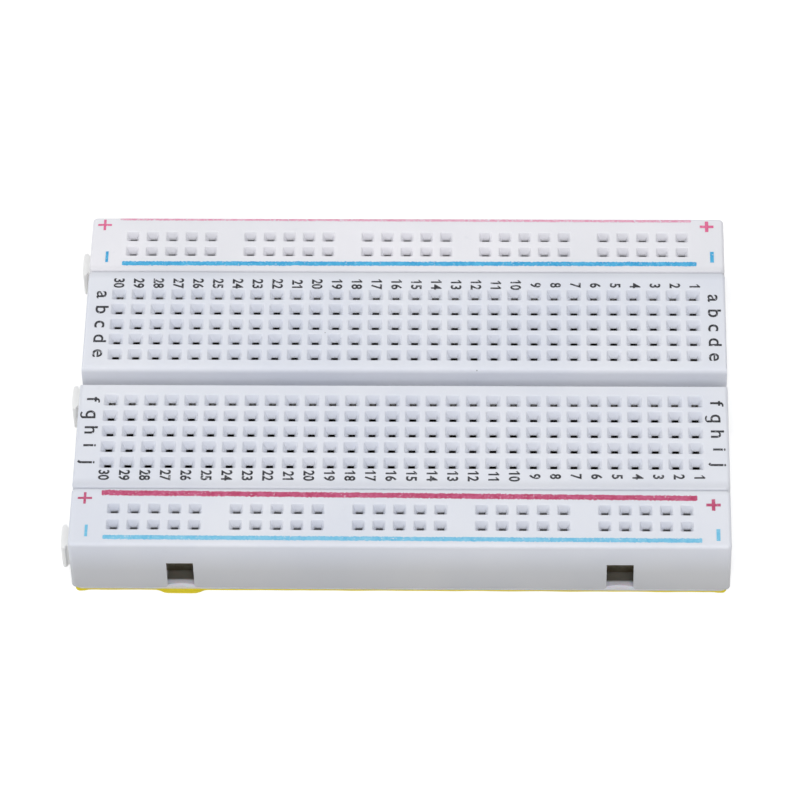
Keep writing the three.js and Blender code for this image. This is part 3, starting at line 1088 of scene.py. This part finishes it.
def liner_material():
    """Yellow waxed paper with fibres and faint creases."""
    paint = Paint("liner", Coat_Weight=0.25, Coat_Roughness=0.35)
    fibres = paint.noise(0.5 * MM, 6, 0.7, (1, 3, 1))
    tone = paint.ramp(fibres, (0.3, rgb(224, 203, 6)), (0.7, rgb(240, 224, 48)))
    creases = paint.ramp(paint.noise(9 * MM, 4, 0.6), (0.6, 0.0), (0.72, 0.3))
    paint.colour(paint.mix(creases, tone, rgb(205, 180, 20)))
    paint.roughness(paint.ramp(fibres, (0.3, 0.4), (0.7, 0.6)))
    paint.bump(fibres, 0.008 * MM, 0.6)
    return paint.material


def floor_material(name, grey, glow):
    """A matt surface that glows by itself, so that the ground stays white."""
    paint = Paint(name, Roughness=0.9, Specular_IOR_Level=0.1)
    paint.colour(paint.ramp(paint.noise(0.4, 2), (0.3, grey - 0.01), (0.7, grey)))
    paint.shader.inputs["Emission Color"].default_value = (1, 1, 1, 1)
    paint.shader.inputs["Emission Strength"].default_value = glow
    return paint.material


# The pieces


def add_mouldings():
    housing = housing_material("housing", rgb(226, 229, 238), rgb(232, 234, 241))
    # The rear rail's housing is a lighter copy of the front one: painted light for the brighter light at the
    # back.
    rear_housing_painted_lighter = housing_material("rear_housing_painted_lighter", rgb(235, 235, 240), rgb(241, 240, 245))
    finish_piece(block_moulding(), "block_moulding", "block", housing, ["terminal_block"])
    rail = apply_modifiers(rail_moulding())
    for end, side, body, paint in (("front", -1, "base", housing), ("rear", 1, "rear_rail", rear_housing_painted_lighter)):
        piece = bpy.data.objects.new("rail", rail.data.copy())
        collection.objects.link(piece)
        piece.data.transform(Matrix.Translation((0, side * RAIL_CENTRE, 0)))
        finish_piece(piece, f"{end}_rail_moulding", body, paint, [f"{end}_power_rail"])
    bpy.data.objects.remove(rail)


def fit_clip(source, name, body, x, y, node):
    """A copy of a clip that shares its mesh. It replaces the CAD node, if the CAD has it."""
    piece = bpy.data.objects.new(name, source.data)
    collection.objects.link(piece)
    piece.location = (x, y, UNDERSIDE)
    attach(piece, body)
    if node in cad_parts:
        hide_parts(node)


def add_clips():
    metal = metal_material()
    terminal = apply_modifiers(clip_mesh("terminal", centred(ROWS)))
    bus = clip_mesh("bus", hole_x)
    bus.data.transform(Matrix.Rotation(math.pi / 2, 4, "Z"))
    apply_modifiers(bus)
    for source in (terminal, bus):
        source.data.materials.clear()
        source.data.materials.append(metal)
    for end, side, body in (("front", -1, "base"), ("rear", 1, "rear_rail")):
        for n, x in column_x.items():
            node = f"{end}_terminal_clip_{n:02d}"
            fit_clip(terminal, f"{end}_contact_{n:02d}", "block", x, side * BANK_CENTRE, node)
        for line, offset in zip(("minus", "plus"), centred(2)):
            node = f"{end}_bus_clip_{line}"
            fit_clip(bus, f"{end}_bus_{line}", body, 0, side * RAIL_CENTRE + offset, node)
    bpy.data.objects.remove(terminal)
    bpy.data.objects.remove(bus)


def add_tape():
    foam = finish_piece(foam_pad(), "foam_pad", "base", foam_material(), ["foam_tape"])
    finish_piece(liner_sheet(), "liner_sheet", "liner", liner_material(), ["release_liner"])


def add_rail_print():
    """A line and two signs of each colour on each rail."""
    red = ink_material("ink_red", rgb(184, 56, 96), rgb(208, 102, 142))
    pale_red = ink_material("ink_pale_red", rgb(228, 142, 174), rgb(242, 192, 212), 0.54)
    bright_red = ink_material("ink_bright_red", rgb(222, 84, 134), rgb(234, 124, 164))
    blue = ink_material("ink_blue", rgb(40, 158, 214), rgb(92, 192, 234))
    pale_blue = ink_material("ink_pale_blue", rgb(102, 190, 228), rgb(148, 212, 238))
    for end, body, colour, sign, line_ink, sign_ink, seed in (
        ("front", "base", "red", "plus", red, red, 50),
        ("front", "base", "blue", "minus", pale_blue, pale_blue, 51),
        ("rear", "rear_rail", "red", "plus", pale_red, bright_red, 40),
        ("rear", "rear_rail", "blue", "minus", blue, blue, 41),
    ):
        first, last, width = MARKS[end][colour]
        shells = Shells()
        ink_line(shells, millimetres(first), millimetres(last), width * MM, seed)
        name = f"{end}_{colour}_line"
        finish_piece(shells.object(name), name, body, line_ink)
        shells = Shells()
        for (x, y), stroke in zip(map(millimetres, MARKS[end][sign]), SIGN_STROKES):
            if sign == "plus":
                plus_sign(shells, x, y, stroke)
            else:
                minus_sign(shells, x, y, stroke)
        name = f"{end}_{sign}_signs"
        finish_piece(shells.object(name), name, body, sign_ink)


def add_block_print():
    black = ink_material("ink_black", rgb(34, 34, 38), rgb(64, 64, 70), 0.58)
    finish_piece(column_numbers(), "column_numbers", "block", black)
    finish_piece(row_letters(), "row_letters", "block", black)


# Stage, light and camera


def add_camera():
    """The camera at the photo's angle, rolled a little as the photo is."""
    azimuth, elevation, roll = math.radians(2.530), math.radians(49.937), math.radians(-1.7526)
    distance, half_view = 647.43 * MM, math.radians(8.916 / 2)
    target = Vector((-0.36 * MM, -3.727 * MM, TOP))
    flat = math.cos(elevation)
    back = Vector((math.sin(azimuth) * flat, -math.cos(azimuth) * flat, math.sin(elevation)))
    level = Vector((math.cos(azimuth), math.sin(azimuth), 0))
    upright = back.cross(level)
    right = level * math.cos(roll) + upright * math.sin(roll)
    up = upright * math.cos(roll) - level * math.sin(roll)
    data = bpy.data.cameras.new("camera")
    data.sensor_width = 36
    data.lens = data.sensor_width / 2 / math.tan(half_view)
    data.clip_start, data.clip_end = 0.01, 10
    camera = bpy.data.objects.new("camera", data)
    collection.objects.link(camera)
    turn = Matrix((right, up, back)).transposed().to_4x4()
    camera.matrix_world = Matrix.Translation(target + back * distance) @ turn
    bpy.context.scene.camera = camera


def add_light(name, position, size, energy):
    """A soft rectangular light, aimed at the board."""
    data = bpy.data.lights.new(name, "AREA")
    data.shape = "RECTANGLE"
    data.size, data.size_y = size
    data.energy = energy
    light = bpy.data.objects.new(name, data)
    collection.objects.link(light)
    light.location = position
    light.rotation_euler = (-Vector(position)).to_track_quat("-Z", "Y").to_euler()


def add_stage():
    """A white floor, and a card just below it that bounces soft light onto the sides in its stead."""
    for name, z, grey, glow in (("floor", 0, 0.95, 0.4), ("bounce_card", -0.05 * MM, 0.55, 0)):
        shells = Shells()
        shells.box((-2, -2, z - 0.02), (2, 2, z))
        slab = shells.object(name)
        slab.data.materials.append(floor_material(name, grey, glow))
        if name == "floor":
            slab.visible_diffuse = slab.visible_shadow = False


def add_world():
    """Even light that is stronger from above than from the horizon."""
    world = bpy.data.worlds.new("world")
    bpy.context.scene.world = world
    world.use_nodes = True
    tree = world.node_tree
    background = tree.nodes["Background"]
    background.inputs["Color"].default_value = (0.98, 0.99, 1, 1)
    split = tree.nodes.new("ShaderNodeSeparateXYZ")
    tree.links.new(tree.nodes.new("ShaderNodeTexCoord").outputs["Generated"], split.inputs[0])
    sky = tree.nodes.new("ShaderNodeMapRange")
    for socket, value in (("From Min", 0), ("From Max", 1), ("To Min", 0.24), ("To Max", 0.72)):
        sky.inputs[socket].default_value = value
    tree.links.new(split.outputs["Z"], sky.inputs["Value"])
    tree.links.new(sky.outputs["Result"], background.inputs["Strength"])


add_mouldings()
add_clips()
add_tape()
add_rail_print()
add_block_print()
add_camera()
add_stage()
add_world()
add_light("front", (0.1, -1.0, 1.0), (0.8, 0.6), 7.2)
add_light("left", (-1.1, -0.1, 0.45), (0.6, 0.4), 2.5)
add_light("rear", (-0.03, 0.24, 0.42), (0.5, 0.3), 0.3)
bpy.context.scene.view_settings.view_transform = "Standard"
